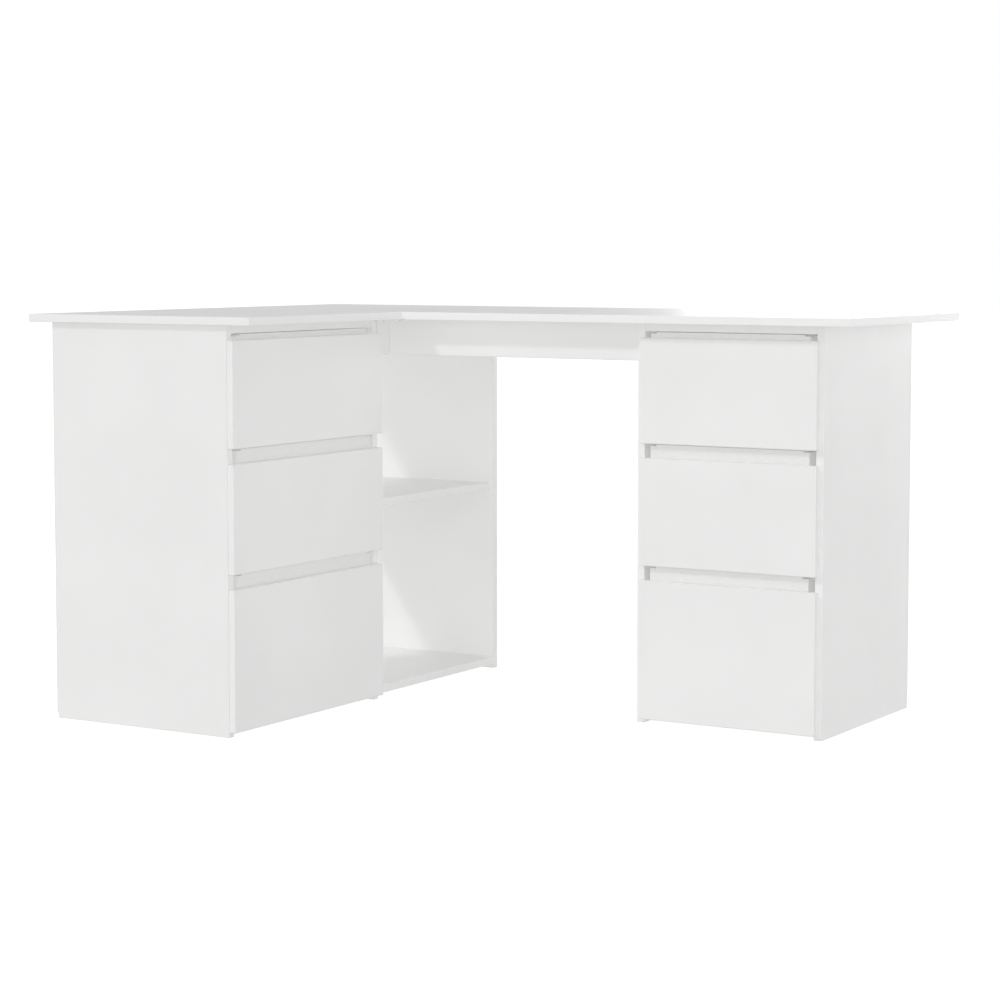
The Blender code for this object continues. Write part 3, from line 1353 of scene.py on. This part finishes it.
@dataclass(frozen=True)
class Studio:
    """The white room: an even sky, a soft key light from the left, a pale floor and the camera.

    Attributes:
        sky: the light that the sky gives.
        key: the key light's strength.
        key_direction: the way that the key light travels.
        key_spread: the key light's angular size, in radians.
        fills: the strength of each fill light, and the way that it travels.
        sheen_power: the power in watts of the panel behind the desk, which only shows in gloss.
        sheen_place: that panel's middle.
        window_power: the power in watts of the panel at the left, which shines through the open back.
        window_place: that panel's middle.
        panel_size: the panels' width and height.
        side: the side light's strength.
        side_direction: the way that the side light travels.
        side_spread: the side light's angular size, in radians.
        floor_color: how much light the floor gives back.
        floor_glow: how much light the floor gives of its own.
        floor_half: half of the floor's side.
        floor_cells: the floor's faces along each side.
        floor_clouds: the pattern of the floor's colour.
        floor_shades: the factors on the floor's colour.
        floor_roughness: the floor's roughness.
        camera_place: where the camera stands.
        camera_turn: how far the camera is turned about +Z, in radians.
        camera_dip: how far it looks down, in radians.
        camera_lens: its focal length in millimetres.
        camera_shift: the shift that frames the desk.
        camera_reach: how far it sees.
    """

    sky: float = 0.49
    key: float = 0.60
    key_direction: Triple = (0.67, 1.0, -1.0)
    key_spread: float = math.radians(5.0)
    fills: tuple[tuple[float, Triple], ...] = (
        (0.95, (0.0, 1.0, 0.0)),
        (0.68, (-1.0, 0.0, 0.0)),
        (1.00, (0.0, -1.0, 0.0)),
        (0.50, (1.0, 0.0, 0.0)),
        (0.30, (0.0, 0.0, -1.0)),
    )
    sheen_power: float = 55.0
    sheen_place: Triple = (0.1, 3.5, 1.7)
    window_power: float = 32.0
    window_place: Triple = (-3.0, 0.3, 0.9)
    panel_size: Point2 = (3.0, 2.6)
    side: float = 0.14
    side_direction: Triple = (-1.0, 0.15, -0.15)
    side_spread: float = math.radians(50.0)
    floor_color: float = 0.20
    floor_glow: float = 0.95
    floor_half: float = 30.0
    floor_cells: int = 4
    floor_clouds: Grain = Grain(3.0, 4.0)
    floor_shades: Point2 = (1.0, 1.03)
    floor_roughness: float = 0.9
    camera_place: Triple = (2.5375, -4.1931, 0.8820)
    camera_turn: float = math.radians(31.1075)
    camera_dip: float = math.radians(4.451)
    camera_lens: float = 93.292
    camera_shift: Point2 = (-0.0023, -0.05)
    camera_reach: float = 200.0

    def light_world(self) -> None:
        """Fill the world with even white light, and show it as pure white."""
        world = bpy.data.worlds.new("white_room")
        world.use_nodes = True
        tree = world.node_tree
        tree.nodes.clear()
        light = tree.nodes.new("ShaderNodeBackground")
        light.inputs["Strength"].default_value = self.sky
        shown = tree.nodes.new("ShaderNodeBackground")
        rays = tree.nodes.new("ShaderNodeLightPath")
        choice = tree.nodes.new("ShaderNodeMixShader")
        out = tree.nodes.new("ShaderNodeOutputWorld")
        for node in (light, shown):
            node.inputs["Color"].default_value = (1.0, 1.0, 1.0, 1.0)
        tree.links.new(rays.outputs["Is Camera Ray"], choice.inputs["Fac"])
        tree.links.new(light.outputs["Background"], choice.inputs[1])
        tree.links.new(shown.outputs["Background"], choice.inputs[2])
        tree.links.new(choice.outputs["Shader"], out.inputs["Surface"])
        bpy.context.scene.world = world

    def add_lamp(self, name: str, strength: float, direction: Triple, spread: float) -> None:
        """Add a far light.

        Args:
            name: the light's name.
            strength: its strength.
            direction: the way that it travels.
            spread: its angular size, in radians; 0 for a fill, which casts no shadows.
        """
        lamp = bpy.data.lights.new(name, "SUN")
        lamp.energy = strength
        lamp.angle = spread or self.side_spread
        lamp.use_shadow = bool(spread)
        self.hang(lamp, (0.0, 0.0, 0.0), direction)

    def hang(self, lamp: bpy.types.Light, place: Triple, direction: Triple) -> bpy.types.Object:
        """Put a lamp in the scene.

        Args:
            lamp: the lamp.
            place: where it hangs.
            direction: the way that it shines.

        Returns:
            The lamp's object.
        """
        holder = bpy.data.objects.new(lamp.name, lamp)
        holder.location = place
        holder.rotation_mode = "QUATERNION"
        holder.rotation_quaternion = Vector(direction).to_track_quat("-Z", "Y")
        holder.visible_camera = False
        bpy.context.scene.collection.objects.link(holder)
        return holder

    def add_panel(self, name: str, power: float, place: Triple, direction: Triple) -> bpy.types.Object:
        """Add a broad light panel.

        Args:
            name: the light's name.
            power: its power in watts.
            place: its middle.
            direction: the way that it faces.

        Returns:
            The panel's object.
        """
        panel = bpy.data.lights.new(name, "AREA")
        panel.shape = "RECTANGLE"
        panel.size, panel.size_y = self.panel_size
        panel.energy = power
        return self.hang(panel, place, direction)

    def light_desk(self) -> None:
        """Add the key light, high and from the left, the side light, the fills and both panels."""
        self.add_lamp("key", self.key, self.key_direction, self.key_spread)
        self.add_lamp("side", self.side, self.side_direction, self.side_spread)
        for number, (strength, direction) in enumerate(self.fills, start=1):
            self.add_lamp(f"fill_{number}", strength, direction, 0.0)
        sheen = self.add_panel("sheen", self.sheen_power, self.sheen_place, (0.0, -1.0, 0.0))
        sheen.visible_diffuse = False
        self.add_panel("window", self.window_power, self.window_place, (1.0, 0.0, 0.0))

    def lay_floor(self) -> None:
        """Lay the pale floor that the desk stands on."""
        shape = bmesh.new()
        bmesh.ops.create_grid(shape, x_segments=self.floor_cells, y_segments=self.floor_cells,
                              size=self.floor_half)
        mesh = bpy.data.meshes.new("floor")
        shape.to_mesh(mesh)
        shape.free()
        material = bpy.data.materials.new("pale_floor")
        material.use_nodes = True
        sheet = NodeSheet(material)
        shades = (shaded((self.floor_color,) * 3, factor) for factor in self.floor_shades)
        sheet.tint(sheet.noise(self.floor_clouds), *shades)
        sheet.shader.inputs["Roughness"].default_value = self.floor_roughness
        sheet.shader.inputs["Specular IOR Level"].default_value = 0.0
        sheet.shader.inputs["Emission Color"].default_value = (1.0, 1.0, 1.0, 1.0)
        sheet.shader.inputs["Emission Strength"].default_value = self.floor_glow
        mesh.materials.append(material)
        floor = bpy.data.objects.new("floor", mesh)
        bpy.context.scene.collection.objects.link(floor)
        floor.visible_diffuse = False
        floor.visible_glossy = False

    def set_camera(self) -> None:
        """Stand the camera to the right of the desk, at about the height of its top."""
        lens = bpy.data.cameras.new("camera")
        lens.lens = self.camera_lens
        lens.shift_x, lens.shift_y = self.camera_shift
        lens.clip_end = self.camera_reach
        camera = bpy.data.objects.new("camera", lens)
        camera.location = self.camera_place
        camera.rotation_euler = (math.pi / 2 - self.camera_dip, 0.0, self.camera_turn)
        bpy.context.scene.collection.objects.link(camera)
        bpy.context.scene.camera = camera

    def set_up(self) -> None:
        """Set up the whole studio."""
        self.light_world()
        self.light_desk()
        self.lay_floor()
        self.set_camera()
        bpy.context.scene.view_settings.view_transform = "Standard"


# ---------------------------------------------------------------- assembly


def units() -> list[Unit]:
    """Find the two units' frames from their left side boards.

    Returns:
        The return unit and the pedestal.
    """
    low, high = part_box("return_side_front")
    return_place = UnitFrame(Vector((high.x, low.y, 0.0)), math.pi / 2)
    pedestal_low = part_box("pedestal_side_left")[0]
    pedestal_place = UnitFrame(pedestal_low, 0.0)
    return [ReturnUnit("return", return_place, ("side_front", "partition", "side_rear")),
            Unit("pedestal", pedestal_place, ("side_left", "side_right"))]


def main() -> None:
    """Build the desk and its studio."""
    logging.basicConfig(level=logging.INFO, format="%(name)s: %(message)s")
    Studio().set_up()
    DeskTop().dress()
    for unit in units():
        unit.dress()
        LOG.info("%s unit finished", unit.prefix)


if __name__ == "__main__":
    main()
